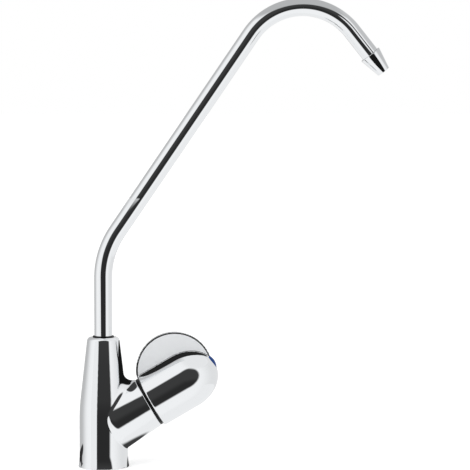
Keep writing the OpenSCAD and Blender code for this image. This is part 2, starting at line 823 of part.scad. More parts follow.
// Conical nozzle with a stub that seals inside the tube
module nozzle_tip() {
    pocket = straightener_len + seat_gap;
    color(CHROME) on_spout(tube_end, end_tilt) difference() {
        union() {
            translate([0, 0, seat_gap])
                cylinder(r1 = nozzle_r, r2 = tip_r, h = nozzle_len - seat_gap);
            translate([0, 0, -nozzle_stub]) cylinder(r = nozzle_stub_r, h = nozzle_stub + cut);
        }
        translate([0, 0, nozzle_ring_s]) ring_groove(nozzle_stub_r);
        translate([0, 0, -nozzle_stub - cut])
            cylinder(r = nozzle_bore_r, h = nozzle_stub + nozzle_len + 2 * cut);
        translate([0, 0, nozzle_len - pocket]) cylinder(r = tip_r - tip_wall, h = pocket + cut);
    }
}

module nozzle_o_ring() {
    color(RUBBER) on_spout(tube_end, end_tilt) translate([0, 0, nozzle_ring_s])
        seal_ring(nozzle_stub_r);
}

// Short sleeve with crossed vanes
module flow_straightener() {
    sleeve_wall = 0.5;
    color(WHITE_ACETAL) on_spout(tube_end, end_tilt)
        translate([0, 0, nozzle_len - straightener_len]) intersection() {
            union() {
                flat_ring(straightener_r, straightener_r - sleeve_wall, straightener_len);
                for (turn = [0, 90]) rotate(turn)
                    translate([-straightener_r, -vane_t / 2, 0])
                        cube([2 * straightener_r, vane_t, straightener_len]);
            }
            cylinder(r = straightener_r, h = straightener_len);
        }
}

tap_body();
base_gasket();
inlet_seal();
mounting_shank();
deck_washer();
backing_washer();
mounting_nut();
seat_seal();
fixed_disc();
cartridge_body();
cartridge_o_ring();
glide_ring();
spout_bush();
spout_grub_screw();
moving_disc();
spindle();
spindle_o_rings();
slip_washer();
spindle_clip();
spline_insert();
handle_knob();
handle_screw();
index_cap();
spout_foot();
spout_o_rings();
spout_tube();
nozzle_tip();
nozzle_o_ring();
flow_straightener();
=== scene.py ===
"""Looks of a drinking water filter tap: chrome skins, fixings, finishes, studio and camera.

Everything is in metres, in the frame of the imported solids: +Z up, +X towards the outlet,
with the worktop at Z = 0. Outlines are (radius, height) points that are spun about an axis.
"""

import json
import math

import bmesh
import bpy
import numpy as np
from mathutils import Euler, Matrix, Vector


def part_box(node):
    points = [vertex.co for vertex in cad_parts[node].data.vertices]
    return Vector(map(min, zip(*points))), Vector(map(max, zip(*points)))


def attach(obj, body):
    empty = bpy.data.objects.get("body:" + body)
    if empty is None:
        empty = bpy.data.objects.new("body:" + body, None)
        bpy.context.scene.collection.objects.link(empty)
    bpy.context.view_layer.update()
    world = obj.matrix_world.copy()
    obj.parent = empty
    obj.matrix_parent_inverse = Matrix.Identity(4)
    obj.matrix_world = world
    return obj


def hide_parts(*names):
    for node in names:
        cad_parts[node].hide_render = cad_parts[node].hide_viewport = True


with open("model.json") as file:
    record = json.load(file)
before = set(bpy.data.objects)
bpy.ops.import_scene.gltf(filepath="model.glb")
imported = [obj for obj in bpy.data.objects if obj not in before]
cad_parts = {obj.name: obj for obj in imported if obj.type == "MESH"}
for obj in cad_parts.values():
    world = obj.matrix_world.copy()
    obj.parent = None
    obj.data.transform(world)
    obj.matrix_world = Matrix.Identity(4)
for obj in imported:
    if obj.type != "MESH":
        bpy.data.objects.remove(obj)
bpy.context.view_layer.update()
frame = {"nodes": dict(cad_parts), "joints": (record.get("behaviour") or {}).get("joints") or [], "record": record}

# Column
COLUMN_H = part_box("tap_body")[1].z
COLUMN_R = 0.0135
BASE_FLARE = 0.0007
FLARE_H = 0.007
BASE_EDGE = 0.0003
SHOULDER_Z = 0.0324
SHOULDER_ROUND = 0.110
TOP_R = 0.0089
TOP_ROUND = 0.0022
BASE_R = COLUMN_R + BASE_FLARE
TAPER = math.atan((COLUMN_R - TOP_R) / (COLUMN_H - SHOULDER_Z))
SHOULDER_START = SHOULDER_Z - SHOULDER_ROUND * math.tan(TAPER / 2)
# Heights where the settled skin ends and the turned foot and top go on
FOOT_JOIN = FLARE_H + 0.0004
TOP_JOIN = COLUMN_H - 0.0137

# Valve housing, with stations measured along the valve axis
turn_joint = next(joint for joint in frame["joints"] if joint["name"] == "handle_turn")
VALVE_TILT = math.acos(turn_joint["axis"][2])
VALVE = Matrix.Translation(turn_joint["pos_m"]) @ Matrix.Rotation(VALVE_TILT, 4, "Y")
HOUSING_LEN = 0.0289
HOUSING_END_R = 0.01475
ROOT_HIGH = 0.0167
ROOT_BACK = 0.002
ROOT_ROUND = 0.007
ROOT_TURN = math.radians(66)
ROOT_S = 0.008
RIM_ROUND = 0.0006
SEAT_S = 0.008
SEAT_BORE_R = 0.004
CHAMBER_R = 0.0096
GLAND_R = 0.01045
GLAND_S = 0.02065
RECESS_R = 0.01237
RECESS_S = 0.02665
TOP_FILLET = 0.0040
FRONT_FILLET = 0.0012
RIM_JOIN = HOUSING_LEN - 0.0009
# Bounds that keep the housing's gap finite on its axis and where it runs alongside the column
OVAL_LEAST = 0.1
LEAN_LIMITS = (-0.9, 0.995)

# Handle
GLIDE_T = 0.0012
GLIDE_W = 0.0019
GLIDE_INSET = 0.00035
SLIP_GAP = 0.00025
KNOB_S = HOUSING_LEN + GLIDE_T + SLIP_GAP
KNOB_R = 0.0157
KNOB_LEN = 0.0416
DOME_LEN = 0.0195
POLE_S = KNOB_S + KNOB_LEN
DOME_S = POLE_S - DOME_LEN
FIN_R = 0.0215
FIN_T = 0.0035
FIN_RISE = 0.0082
FIN_S = KNOB_S + 0.0201
FIN_ROUND = 0.0004
FIN_FILLET = 0.0005
PANEL_RISE = 0.0005
PANEL_BORDER = 0.0006
PANEL_METAL = 0.1
BLAST_SIZE = 0.0015
BLAST_ROUGH = (0.45, 0.65)
SKIRT_R = 0.0135
SKIRT_S = KNOB_S + 0.00506
INSERT_R = 0.00666
INSERT_S = SKIRT_S + 0.011
SCREW_R = 0.0019
HEAD_R = 0.00285
HEAD_S = INSERT_S + 0.009
CAP_R = 0.00435
CAP_T = 0.0026
CAP_CROWN = 0.00135
CAP_RISE = 0.0013
CAP_STEM_LEN = 0.006
CAP_HOLLOW_R = HEAD_R - 0.001
CAP_AXIS = VALVE @ Matrix.Translation((-CAP_RISE, 0, 0))
CAP_EDGE_S = DOME_S + DOME_LEN * math.sqrt(1 - (CAP_R / KNOB_R) ** 2)

# Fits, and the rounded edges of rings and washers
SEAT_GAP = 0.00005
RUN_GAP = 0.00006
RING_EDGE = 0.0002
THIN_EDGE = 0.0003
RUBBER_EDGE = 0.0008

# Spout
TUBE_R = 0.005
TUBE_WALL = 0.001
TUBE_FOOT_Z = COLUMN_H - 0.0075
RISE_H = 0.0329
LOWER_BEND_R = 0.046
LEAN = math.radians(34.3)
ARM_LEN = 0.132
ARCH_R = 0.035
OUTLET_LEAN = math.radians(38.5)
END_LEN = 0.0164
BUSH_IN_R = TUBE_R + RUN_GAP
BUSH_R = BUSH_IN_R + 0.00085
BUSH_DEPTH = 0.006
BUSH_LIP = 0.0007
SPOUT_BORE_R = 0.00556
BORE_FLOOR = COLUMN_H - 0.0277
GRUB_R = 0.00205
GRUB_Z = COLUMN_H - 0.011

# Nozzle, with stations measured along its own axis from the end of the tube
NOZZLE_R = 0.0062
TIP_R = 0.00375
NOZZLE_LEN = 0.0124
NOZZLE_STUB = 0.008
NOZZLE_STUB_R = 0.00395
NOZZLE_BORE_R = 0.0022
POCKET_R = 0.0029
POCKET_LEN = 0.00505
NOZZLE_EDGE = 0.00035

# Mounting
GASKET_R = BASE_R - 0.0027
GASKET_W = 0.0028
GASKET_T = 0.0016
SHANK_R = 0.006
SHANK_BORE_R = 0.003
SOCKET_DEPTH = 0.0115
THREAD_PITCH = 0.0015
THREAD_DEPTH = 0.0008
THREAD_BEVEL = 0.0006
RELIEF_R = 0.00435
RELIEF_H = 0.002
INLET_LEN = 0.011
INLET_END_R = 0.00485
INLET_PITCH = 0.001
INLET_DEPTH = 0.0006
NUT_SIDES = 6
NUT_FLATS = 0.019
NUT_SLOPE = math.radians(30)
NUT_BEVEL = 0.0005

# Turns and meshing
UPSIDE_DOWN = Matrix.Rotation(math.pi, 4, "X")
TO_THE_BACK = Matrix.Rotation(-math.pi / 2, 4, "X")
TO_THE_FRONT = Matrix.Rotation(math.pi / 2, 4, "X")
WELD = 1e-6
TINY = 1e-9
SPIN_STEPS = 128
EDGE_STEPS = 4
RIM_STEPS = 6
DOME_STEPS = 24
CROWN_STEPS = 16
TUBE_SIDES = 64
LOWER_STEPS = 32
ARCH_STEPS = 72
THREAD_STEPS = 48
RINGS_A_TURN = 8
SKIN_VOXEL = 0.0004
RIM_WELD = SKIN_VOXEL / 8
SHARP = math.radians(32)

# Finishes: both chrome finishes share a colour and a buff, and noise mostly lies between two values
CHROME_PLATE = "#eef0f2"
BUFFED = {"size": 0.012, "depth": 0.000004, "smooth": 0.025, "rough": 0.05}
NOISE_DETAIL = 3
NOISE_LOW, NOISE_HIGH = 0.3, 0.7

# Camera and studio
CAMERA_AZIMUTH = math.radians(-4)
CAMERA_PITCH = math.radians(3.9)
CAMERA_DISTANCE = 1.3
CAMERA_AIM = Vector((0.0735, 0, 0.1292))
CAMERA_LENS = 178.6
# Dark opening behind the camera, an oval given in degrees to the right of the camera and upwards
OPENING_MIDDLE = (3, 13.1)
OPENING_HALF = (42.5, 37.3)
OPENING_TURN = math.radians(35.3)
OPENING_SOFT = 0.1
# Levels of the room: what each goes by, where its change starts and ends, and the level there
ROOM_FADES = {
    "left_wall": ("side", -130, -75, 0.55, 1),
    "right_wall": ("side", 40, 105, 1, 0.84),
    "below": ("height", -22, -10, 0.95, 0),
    "inside": ("height", -6, 14, 0.026, 0.048),
    "opening": ("out", 1 - OPENING_SOFT, 1 + OPENING_SOFT, 1, 0),
}
# Cards that only the metal shows; dark ones draw its stripes and pale ones part or end them:
# name, middle, turn in degrees, half length and half width, level, soft share of the edge
CARD_LIFT = 0.0002
# Black disc just in front of the fin's face, seen only in the metal: painted shade, which the knob's top shows as
# a dark band along the fin's foot
FIN_SHADE_CARD = VALVE @ Vector((-FIN_RISE, -FIN_T / 2 - CARD_LIFT, FIN_S))
OUTLET_TURN = (-90, -math.degrees(OUTLET_LEAN), 0)
CARDS = (
    ("ceiling_card", (0.13, 0.02, 0.36), (180, 0, 0), (0.15, 0.21), 0.52, 0.3),
    ("white_card", (0.095, 0.005, 0.15), (180, 0, 0), (0.100, 0.120), 0.9, 0.4),
    # painted shade: black disc on the fin's face, dark wherever the knob reflects it
    ("fin_painted_shade_card", FIN_SHADE_CARD, (90, 0, 0), (0.0208, 0.0208), 0.02, 0.05),
    ("column_flag", (0.0165, 0.008, 0.043), (0, -90, 0), (0.030, 0.0165), 0.008, 0.1),
    ("housing_flag", (0.0125, 0.0015, 0.050), (0, 90, 0), (0.0098, 0.0125), 0.05, 0.1),
    ("left_card", (-0.108, -0.104, 0.03), (90, 0, 134), (0.042, 0.12), 0.95, 0.15),
    # Two dark cards on the worktop paint its shadow behind the tap, as the metal of the base and housing shows it
    ("left_painted_shadow_card", (-0.045, 0.034, CARD_LIFT), (0, 0, 0), (0.047, 0.018), 0.03, 0.3),
    ("right_painted_shadow_card", (0.014, 0.013, CARD_LIFT), (0, 0, 0), (0.024, 0.025), 0.05, 0.3),
    ("tube_strip", (0.1601, -0.056, 0.2523), OUTLET_TURN, (0.0116, 0.022), 0.9, 0.2),
    ("tube_card", (0.189, 0.015, 0.266), (0, -128, 0), (0.050, 0.055), 0.6, 0.3),
    ("nozzle_flag", (0.161, -0.035, 0.212), OUTLET_TURN, (0.0235, 0.020), 0.01, 0.1),
)
LAMP_PLACE = Vector((-0.9, -1.6, 1.1))
LAMP_SIZE = 0.9
LAMP_POWER = 17
FLOOR_R = 12
FLOOR_SIDES = 96
FLOOR_DROP = 0.00005
FLOOR_WHITE = "#f4f4f4"
FLOOR_GLOW = 0.4


# Outlines and meshes

def arc(centre, radius, start, end, steps=12):
    """Points of a round stretch of an outline, between two angles in degrees."""
    turns = [math.radians(start + (end - start) * i / steps) for i in range(steps + 1)]
    return [(centre[0] + radius * math.cos(t), centre[1] + radius * math.sin(t)) for t in turns]


def spun(outline, place=Matrix(), closed=False, steps=SPIN_STEPS):
    """A turned solid. An open outline starts and ends on the axis, a closed one makes a ring."""
    bm = bmesh.new()
    points = [bm.verts.new((r, 0, h)) for r, h in outline]
    following = points[1:] + points[:1] if closed else points[1:]
    lines = [bm.edges.new(pair) for pair in zip(points, following)]
    bmesh.ops.spin(bm, geom=points + lines, cent=(0, 0, 0), axis=(0, 0, 1), angle=math.tau,
                   steps=steps, use_merge=True)
    bmesh.ops.remove_doubles(bm, verts=bm.verts, dist=WELD)
    bmesh.ops.recalc_face_normals(bm, faces=bm.faces)
    bmesh.ops.transform(bm, matrix=place, verts=bm.verts)
    return bm


def washer_outline(outer, inner, bottom, top, edge):
    """Outline of a flat ring with rounded edges."""
    return (arc((outer - edge, bottom + edge), edge, -90, 0, EDGE_STEPS)
            + arc((outer - edge, top - edge), edge, 0, 90, EDGE_STEPS)
            + arc((inner + edge, top - edge), edge, 90, 180, EDGE_STEPS)
            + arc((inner + edge, bottom + edge), edge, 180, 270, EDGE_STEPS))


def new_object(name, bm):
    """An object in the scene with this mesh, which is used up."""
    mesh = bpy.data.meshes.new(name)
    bm.to_mesh(mesh)
    bm.free()
    made = bpy.data.objects.new(name, mesh)
    bpy.context.scene.collection.objects.link(made)
    return made


def finished(made):
    """The mesh of a scratch object after its modifiers; the object goes."""
    shape = made.evaluated_get(bpy.context.evaluated_depsgraph_get())
    bm = bmesh.new()
    bm.from_mesh(shape.to_mesh())
    shape.to_mesh_clear()
    bpy.data.objects.remove(made)
    return bm


def one_skin(*solids):
    """One even skin round solids that overlap."""
    joined = bmesh.new()
    for solid in solids:
        mesh = bpy.data.meshes.new("solid")
        solid.to_mesh(mesh)
        solid.free()
        joined.from_mesh(mesh)
        bpy.data.meshes.remove(mesh)
    made = new_object("scratch", joined)
    remesh = made.modifiers.new("skin", "REMESH")
    remesh.mode = "VOXEL"
    remesh.voxel_size = SKIN_VOXEL
    return finished(made)


def combined(bm, other, operation):
    """Cuts another solid out of a mesh, joins it on, or keeps what both hold."""
    made, tool = new_object("scratch", bm), new_object("scratch", other)
    boolean = made.modifiers.new("cut", "BOOLEAN")
    boolean.operation = operation
    boolean.solver = "EXACT"
    boolean.object = tool
    cut = finished(made)
    bpy.data.objects.remove(tool)
    return cut


def settle(bm, gap, passes=10, step=2e-5, least=0.25):
    """Moves every vertex onto the surface where gap is zero, down the gap's own slope."""
    points = np.array([vert.co for vert in bm.verts])
    for _ in range(passes):
        slope = np.stack([(gap(points + d) - gap(points - d)) / (2 * step)
                          for d in step * np.eye(3)], axis=1)
        steepness = np.maximum((slope ** 2).sum(axis=1), least)
        points = points - (gap(points) / steepness)[:, None] * slope
    for vert, point in zip(bm.verts, points):
        vert.co = point


def cut_open(bm, place, h, reach):
    """Takes off what lies past a height on an axis and within reach; returns the rim's edges."""
    point = place @ Vector((0, 0, h))
    normal = place.to_3x3() @ Vector((0, 0, 1))
    back = place.inverted()
    near = [face for face in bm.faces
            if (back @ face.calc_center_median()).to_2d().length < reach
            and (face.calc_center_median() - point).dot(normal) > -reach / 2]
    parts = {part for face in near for part in (*face.verts, *face.edges)}
    made = bmesh.ops.bisect_plane(bm, geom=list(parts) + near, dist=WELD, plane_co=point,
                                  plane_no=normal, clear_outer=True)["geom_cut"]
    rim = [item for item in made if isinstance(item, bmesh.types.BMVert)]
    bmesh.ops.remove_doubles(bm, verts=rim, dist=RIM_WELD)
    return [edge for edge in bm.edges if edge.is_boundary
            and all(abs((vert.co - point).dot(normal)) < 10 * WELD for vert in edge.verts)]


def put_at(verts, place, r, h):
    """Moves vertices out to a radius and up to a height, each at its own angle round the axis."""
    back = place.inverted()
    for vert in verts:
        local = back @ vert.co
        spoke = Vector((local.x, local.y)).normalized() * r
        vert.co = place @ Vector((spoke.x, spoke.y, h))


def turned_on(bm, edges, place, outline):
    """Carries the edges of an opening on along an outline and returns the last edges."""
    for r, h in outline:
        made = bmesh.ops.extrude_edge_only(bm, edges=edges)["geom"]
        edges = [item for item in made if isinstance(item, bmesh.types.BMEdge)]
        put_at([item for item in made if isinstance(item, bmesh.types.BMVert)], place, r, h)
    return edges


def piece(name, bm, finish, body, slot, *nodes):
    """Makes a finished object that stands for solids of the frame and moves with their body."""
    made = new_object(name, bm)
    made.data.shade_smooth()
    made.data.set_sharp_from_angle(angle=SHARP)
    made.data.materials.append(finish)
    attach(made, body)
    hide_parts(*nodes)


# Surfaces given by their gap, which is zero on the surface and positive outside

def arc_gap(r, h, centre, radius, first, last):
    """Gap to an outline that is an arc between two angles and its tangents beyond them."""
    turn = np.clip(np.arctan2(h - centre[1], r - centre[0]), first, last)
    return (r - centre[0]) * np.cos(turn) + (h - centre[1]) * np.sin(turn) - radius


def fillet(a, b, radius, lean=0.0):
    """Gap to two solids that meet in a fillet; lean is the cosine between their outward ways."""
    short_a, short_b = radius - a, radius - b
    reach = np.sqrt((short_a ** 2 + short_b ** 2 - 2 * lean * short_a * short_b) / (1 - lean ** 2))
    between = (short_a > lean * short_b) & (short_b > lean * short_a)
    return np.where(between, radius - reach, np.minimum(a, b))


def rounded_edge(a, b, radius):
    """Gap to what two solids share, with its edge rounded."""
    return (np.minimum(-radius, np.maximum(a, b))
            + np.hypot(np.maximum(radius + a, 0), np.maximum(radius + b, 0)))


def on_valve(points):
    """Points of the frame as seen from the valve axis."""
    back = np.array(VALVE.inverted())
    return points @ back[:3, :3].T + back[:3, 3]


def body_gap(points):
    """Column and oval housing, with a wide fillet in the upper corner and a tight one elsewhere."""
    r = np.hypot(points[:, 0], points[:, 1])
    shoulder = (COLUMN_R - SHOULDER_ROUND, SHOULDER_START)
    column = arc_gap(r, points[:, 2], shoulder, SHOULDER_ROUND, 0, TAPER)
    x, y, s = on_valve(points).T
    along = (s + ROOT_BACK) / (HOUSING_LEN - RIM_ROUND + ROOT_BACK)
    drawn_in = np.clip((ROOT_S - s) / ROOT_ROUND, 0, math.sin(ROOT_TURN))
    high = ROOT_HIGH + (HOUSING_END_R - ROOT_HIGH) * along
    wide = HOUSING_END_R - ROOT_ROUND * (1 - np.sqrt(1 - drawn_in ** 2))
    level = np.maximum(np.hypot(x / high, y / wide), OVAL_LEAST)
    housing = np.maximum(np.hypot(x, y) * (1 - 1 / level), -ROOT_BACK - s)
    out_high, out_wide = x / high ** 2, y / wide ** 2
    across = out_high * math.cos(VALVE_TILT) * points[:, 0] + out_wide * points[:, 1]
    lean = across / np.maximum(r * np.hypot(out_high, out_wide), TINY)
    rise = np.clip(-x / HOUSING_END_R, 0, 1)
    radius = FRONT_FILLET + (TOP_FILLET - FRONT_FILLET) * rise ** 2
    return fillet(column, housing, radius, np.clip(lean, *LEAN_LIMITS))


def handle_gap(points):
    """Knob with an elliptical tip, and the round fin that stands on it."""
    x, y, s = on_valve(points).T
    r, past = np.hypot(x, y), np.maximum(s - DOME_S, 0)
    level = np.hypot(r / KNOB_R, past / DOME_LEN)
    knob = (level - 1) * level / np.maximum(np.hypot(r / KNOB_R ** 2, past / DOME_LEN ** 2), 1)
    out = np.hypot(x + FIN_RISE, s - FIN_S) - FIN_R + FIN_ROUND
    aside = np.abs(y) - FIN_T / 2 + FIN_ROUND
    fin = (np.hypot(np.maximum(out, 0), np.maximum(aside, 0))
           + np.minimum(np.maximum(out, aside), 0) - FIN_ROUND)
    return rounded_edge(fillet(knob, fin, FIN_FILLET), KNOB_S - s, RIM_ROUND)


# Finishes

def linear(code):
    """Linear colour of an sRGB hex value."""
    parts = [int(code[i:i + 2], 16) / 255 for i in (1, 3, 5)]
    return [c / 12.92 if c <= 0.04045 else ((c + 0.055) / 1.055) ** 2.4 for c in parts] + [1]


def add(tree, kind, inputs=None, **settings):
    """Adds a node with its settings, and sets or links its sockets."""
    made = tree.nodes.new(kind)
    for name, value in settings.items():
        setattr(made, name, value)
    for socket, value in (inputs or {}).items():
        if isinstance(value, bpy.types.NodeSocket):
            tree.links.new(value, made.inputs[socket])
        else:
            made.inputs[socket].default_value = value
    return made


def new_finish(name, code, **sockets):
    """A material with a plain shader, its colour and its constant sockets."""
    made = bpy.data.materials.new(name)
    made.use_nodes = True
    shader = made.node_tree.nodes["Principled BSDF"]
    shader.inputs["Base Color"].default_value = linear(code)
    for socket, value in sockets.items():
        shader.inputs[socket.replace("_", " ")].default_value = value
    return made, made.node_tree, shader


def grain(tree, shader, size, depth, smooth, rough, stretch=(1, 1, 1)):
    """Surface grain of a real size: fine relief, and roughness that varies with it."""
    where = add(tree, "ShaderNodeTexCoord").outputs["Object"]
    laid = add(tree, "ShaderNodeMapping", {"Vector": where, "Scale": stretch}).outputs["Vector"]
    noise = add(tree, "ShaderNodeTexNoise",
                {"Vector": laid, "Scale": 1 / size, "Detail": NOISE_DETAIL}).outputs["Fac"]
    spread = add(tree, "ShaderNodeMapRange",
                 {"Value": noise, "From Min": NOISE_LOW, "From Max": NOISE_HIGH,
                  "To Min": smooth, "To Max": rough})
    relief = add(tree, "ShaderNodeBump", {"Height": noise, "Distance": depth})
    tree.links.new(spread.outputs["Result"], shader.inputs["Roughness"])
    tree.links.new(relief.outputs["Normal"], shader.inputs["Normal"])


def polished_chrome():
    """Bright chrome plate on polished brass: a near mirror, with a faint waviness from the buff."""
    made, tree, shader = new_finish("polished_chrome_plate", CHROME_PLATE, Metallic=1)
    grain(tree, shader, **BUFFED)
    return made


def handle_chrome():
    """Polished chrome plate; inside a narrow border the fin's flats are pearl-blasted and pale."""
    made, tree, shader = new_finish("chrome_plate_with_pearl_fin", CHROME_PLATE)
    grain(tree, shader, **BUFFED)
    polish = shader.inputs["Roughness"].links[0].from_socket
    where = add(tree, "ShaderNodeTexCoord").outputs["Object"]
    valve = add(tree, "ShaderNodeMapping", {"Vector": where, "Location": VALVE.translation,
                                            "Rotation": (0, VALVE_TILT, 0)}, vector_type="TEXTURE")
    xyz = add(tree, "ShaderNodeSeparateXYZ", {"Vector": valve.outputs["Vector"]}).outputs
    flat = add(tree, "ShaderNodeCombineXYZ", {"X": xyz["X"], "Z": xyz["Z"]}).outputs["Vector"]
    out = add(tree, "ShaderNodeVectorMath", {0: flat, 1: (-FIN_RISE, 0, FIN_S)},
              operation="DISTANCE").outputs["Value"]
    past = add(tree, "ShaderNodeMath", {0: xyz["Z"], 1: DOME_S}, operation="SUBTRACT")
    past = add(tree, "ShaderNodeMath", {0: past.outputs["Value"], 1: 0}, operation="MAXIMUM")
    place = add(tree, "ShaderNodeCombineXYZ",
                {"X": xyz["X"], "Y": xyz["Y"], "Z": past.outputs["Value"]}).outputs["Vector"]
    share = add(tree, "ShaderNodeVectorMath", {0: place, 1: (KNOB_R, KNOB_R, DOME_LEN)},
                operation="DIVIDE").outputs["Vector"]
    level = add(tree, "ShaderNodeVectorMath", {0: share}, operation="LENGTH")
    inside = add(tree, "ShaderNodeMath", {0: out, 1: FIN_R - FIN_ROUND - PANEL_BORDER},
                 operation="LESS_THAN")
    above = add(tree, "ShaderNodeMath", {0: level.outputs["Value"], 1: 1 + PANEL_RISE / KNOB_R},
                operation="GREATER_THAN")
    panel = add(tree, "ShaderNodeMath", {0: inside.outputs["Value"], 1: above.outputs["Value"]},
                operation="MULTIPLY").outputs["Value"]
    beads = add(tree, "ShaderNodeTexNoise",
                {"Vector": where, "Scale": 1 / BLAST_SIZE, "Detail": NOISE_DETAIL}).outputs["Fac"]
    blasted = add(tree, "ShaderNodeMapRange", {"Value": beads, "To Min": BLAST_ROUGH[0],
                                               "To Max": BLAST_ROUGH[1]}).outputs["Result"]
    rough = add(tree, "ShaderNodeMix", {"Factor": panel, "A": polish, "B": blasted})
    metal = add(tree, "ShaderNodeMapRange", {"Value": panel, "To Min": 1, "To Max": PANEL_METAL})
    tree.links.new(rough.outputs["Result"], shader.inputs["Roughness"])
    tree.links.new(metal.outputs["Result"], shader.inputs["Metallic"])
    return made


def turned_brass():
    """Machined brass: warm yellow metal with fine tool marks round the axis."""
    made, tree, shader = new_finish("turned_brass", "#c9a45c", Metallic=1)
    grain(tree, shader, size=0.0006, depth=0.00002, smooth=0.22, rough=0.4, stretch=(0.2, 0.2, 1))
    return made


def stainless():
    """Cold-formed stainless steel: grey, with a soft sheen."""
    made, tree, shader = new_finish("stainless_steel", "#b9bcbe", Metallic=1)
    grain(tree, shader, size=0.0009, depth=0.00001, smooth=0.2, rough=0.34)
    return made


def seal_rubber():
    """Moulded EPDM rubber: matt black with a dusty bloom."""
    made, tree, shader = new_finish("epdm_rubber", "#1d1d1e", IOR=1.52)
    grain(tree, shader, size=0.0012, depth=0.00003, smooth=0.55, rough=0.78)
    return made


def black_acetal():
    """Turned black acetal: a low sheen from the tool."""
    made, tree, shader = new_finish("black_acetal", "#0c0c0d", IOR=1.48, Specular_IOR_Level=0.2)
    grain(tree, shader, size=0.0008, depth=0.00001, smooth=0.28, rough=0.42)
    return made


def white_acetal():
    """Moulded natural acetal: milky white with a waxy gloss."""
    made, tree, shader = new_finish("white_acetal", "#ebe9e2", IOR=1.48, Subsurface_Weight=0.1)
    shader.inputs["Subsurface Radius"].default_value = (0.0008, 0.0008, 0.0007)
    grain(tree, shader, size=0.0015, depth=0.00001, smooth=0.3, rough=0.45)
    return made


def alumina():
    """Lapped alumina ceramic: ivory white and very smooth."""
    made, tree, shader = new_finish("alumina_ceramic", "#f0ece3", IOR=1.76)
    grain(tree, shader, size=0.0007, depth=0.000004, smooth=0.12, rough=0.22)
    return made


def blue_abs():
    """Moulded blue ABS: saturated colour under a glossy skin."""
    made, tree, shader = new_finish("glossy_blue_abs", "#003c84", IOR=1.46, Specular_IOR_Level=0.08)
    grain(tree, shader, size=0.002, depth=0.000006, smooth=0.1, rough=0.18)
    return made


chrome = polished_chrome()
finishes = {"chrome": chrome, "brass": turned_brass(), "steel": stainless(),
            "rubber": seal_rubber(), "black_acetal": black_acetal(), "white_acetal": white_acetal(),
            "ceramic": alumina(), "blue_abs": blue_abs()}


# Column and valve housing

def tap_body():
    """One skin round column and housing, with turned rims and bores at its three openings."""
    column = spun([(0, 0), (COLUMN_R, 0), (COLUMN_R, SHOULDER_Z), (TOP_R, COLUMN_H), (0, COLUMN_H)])
    housing = spun([(0, -ROOT_BACK), (HOUSING_END_R, -ROOT_BACK), (HOUSING_END_R, HOUSING_LEN),
                    (0, HOUSING_LEN)])
    root_wide = COLUMN_R - 2 * SKIN_VOXEL
    bmesh.ops.scale(housing, vec=(ROOT_HIGH / HOUSING_END_R, root_wide / HOUSING_END_R, 1),
                    verts=[vert for vert in housing.verts if vert.co.z < 0])
    bmesh.ops.transform(housing, matrix=VALVE, verts=housing.verts)
    bm = one_skin(column, housing)
    openings = ((UPSIDE_DOWN, -FOOT_JOIN, BASE_R), (Matrix(), TOP_JOIN, BASE_R),
                (VALVE, RIM_JOIN, ROOT_HIGH))
    for place, h, reach in openings:
        cut_open(bm, place, h + 2 * SKIN_VOXEL, reach)
    settle(bm, body_gap)

    flare_round = (FLARE_H ** 2 + BASE_FLARE ** 2) / (2 * BASE_FLARE)
    flare_turn = math.degrees(math.asin((FLARE_H - BASE_EDGE) / flare_round))
    foot = arc((COLUMN_R + flare_round, FLARE_H), flare_round, 180, 180 + flare_turn)
    foot += arc((foot[-1][0] - BASE_EDGE, BASE_EDGE), BASE_EDGE, 0, -90, EDGE_STEPS)
    foot += [(GASKET_R, 0), (GASKET_R, GASKET_T), (GASKET_R - GASKET_W, GASKET_T),
             (GASKET_R - GASKET_W, 0), (SHANK_R, 0), (SHANK_R, SOCKET_DEPTH),
             (SHANK_BORE_R, SOCKET_DEPTH), (SHANK_BORE_R, 2 * SOCKET_DEPTH)]
    top_arc_r = TOP_R + TOP_ROUND * (math.tan(TAPER) - 1 / math.cos(TAPER))
    top = arc((top_arc_r, COLUMN_H - TOP_ROUND), TOP_ROUND, math.degrees(TAPER), 90)
    top += [(BUSH_R + SEAT_GAP, COLUMN_H), (BUSH_R + SEAT_GAP, COLUMN_H - BUSH_DEPTH),
            (SPOUT_BORE_R, COLUMN_H - BUSH_DEPTH), (SPOUT_BORE_R, BORE_FLOOR)]
    rim = arc((HOUSING_END_R - RIM_ROUND, HOUSING_LEN - RIM_ROUND), RIM_ROUND, 0, 90, RIM_STEPS)
    rim += [(RECESS_R, HOUSING_LEN), (RECESS_R, RECESS_S), (GLAND_R, RECESS_S),
            (GLAND_R, GLAND_S), (CHAMBER_R, GLAND_S), (CHAMBER_R, SEAT_S),
            (SEAT_BORE_R, SEAT_S), (SEAT_BORE_R, SEAT_S / 2)]
    foot = [(r, -h) for r, h in foot]
    for (place, h, reach), outline in zip(openings, (foot, top, rim)):
        opening = cut_open(bm, place, h, reach)
        bmesh.ops.edgeloop_fill(bm, edges=turned_on(bm, opening, place, outline))
    bmesh.ops.recalc_face_normals(bm, faces=bm.faces)
    grub_start = SPOUT_BORE_R - GRUB_R
    grub_hole = spun([(0, grub_start), (GRUB_R, grub_start), (GRUB_R, COLUMN_R), (0, COLUMN_R)],
                     Matrix.Translation((0, 0, GRUB_Z)) @ TO_THE_BACK)
    return combined(bm, grub_hole, "DIFFERENCE")


piece("column_and_housing", tap_body(), chrome, "column", "chrome", "tap_body")


# Handle

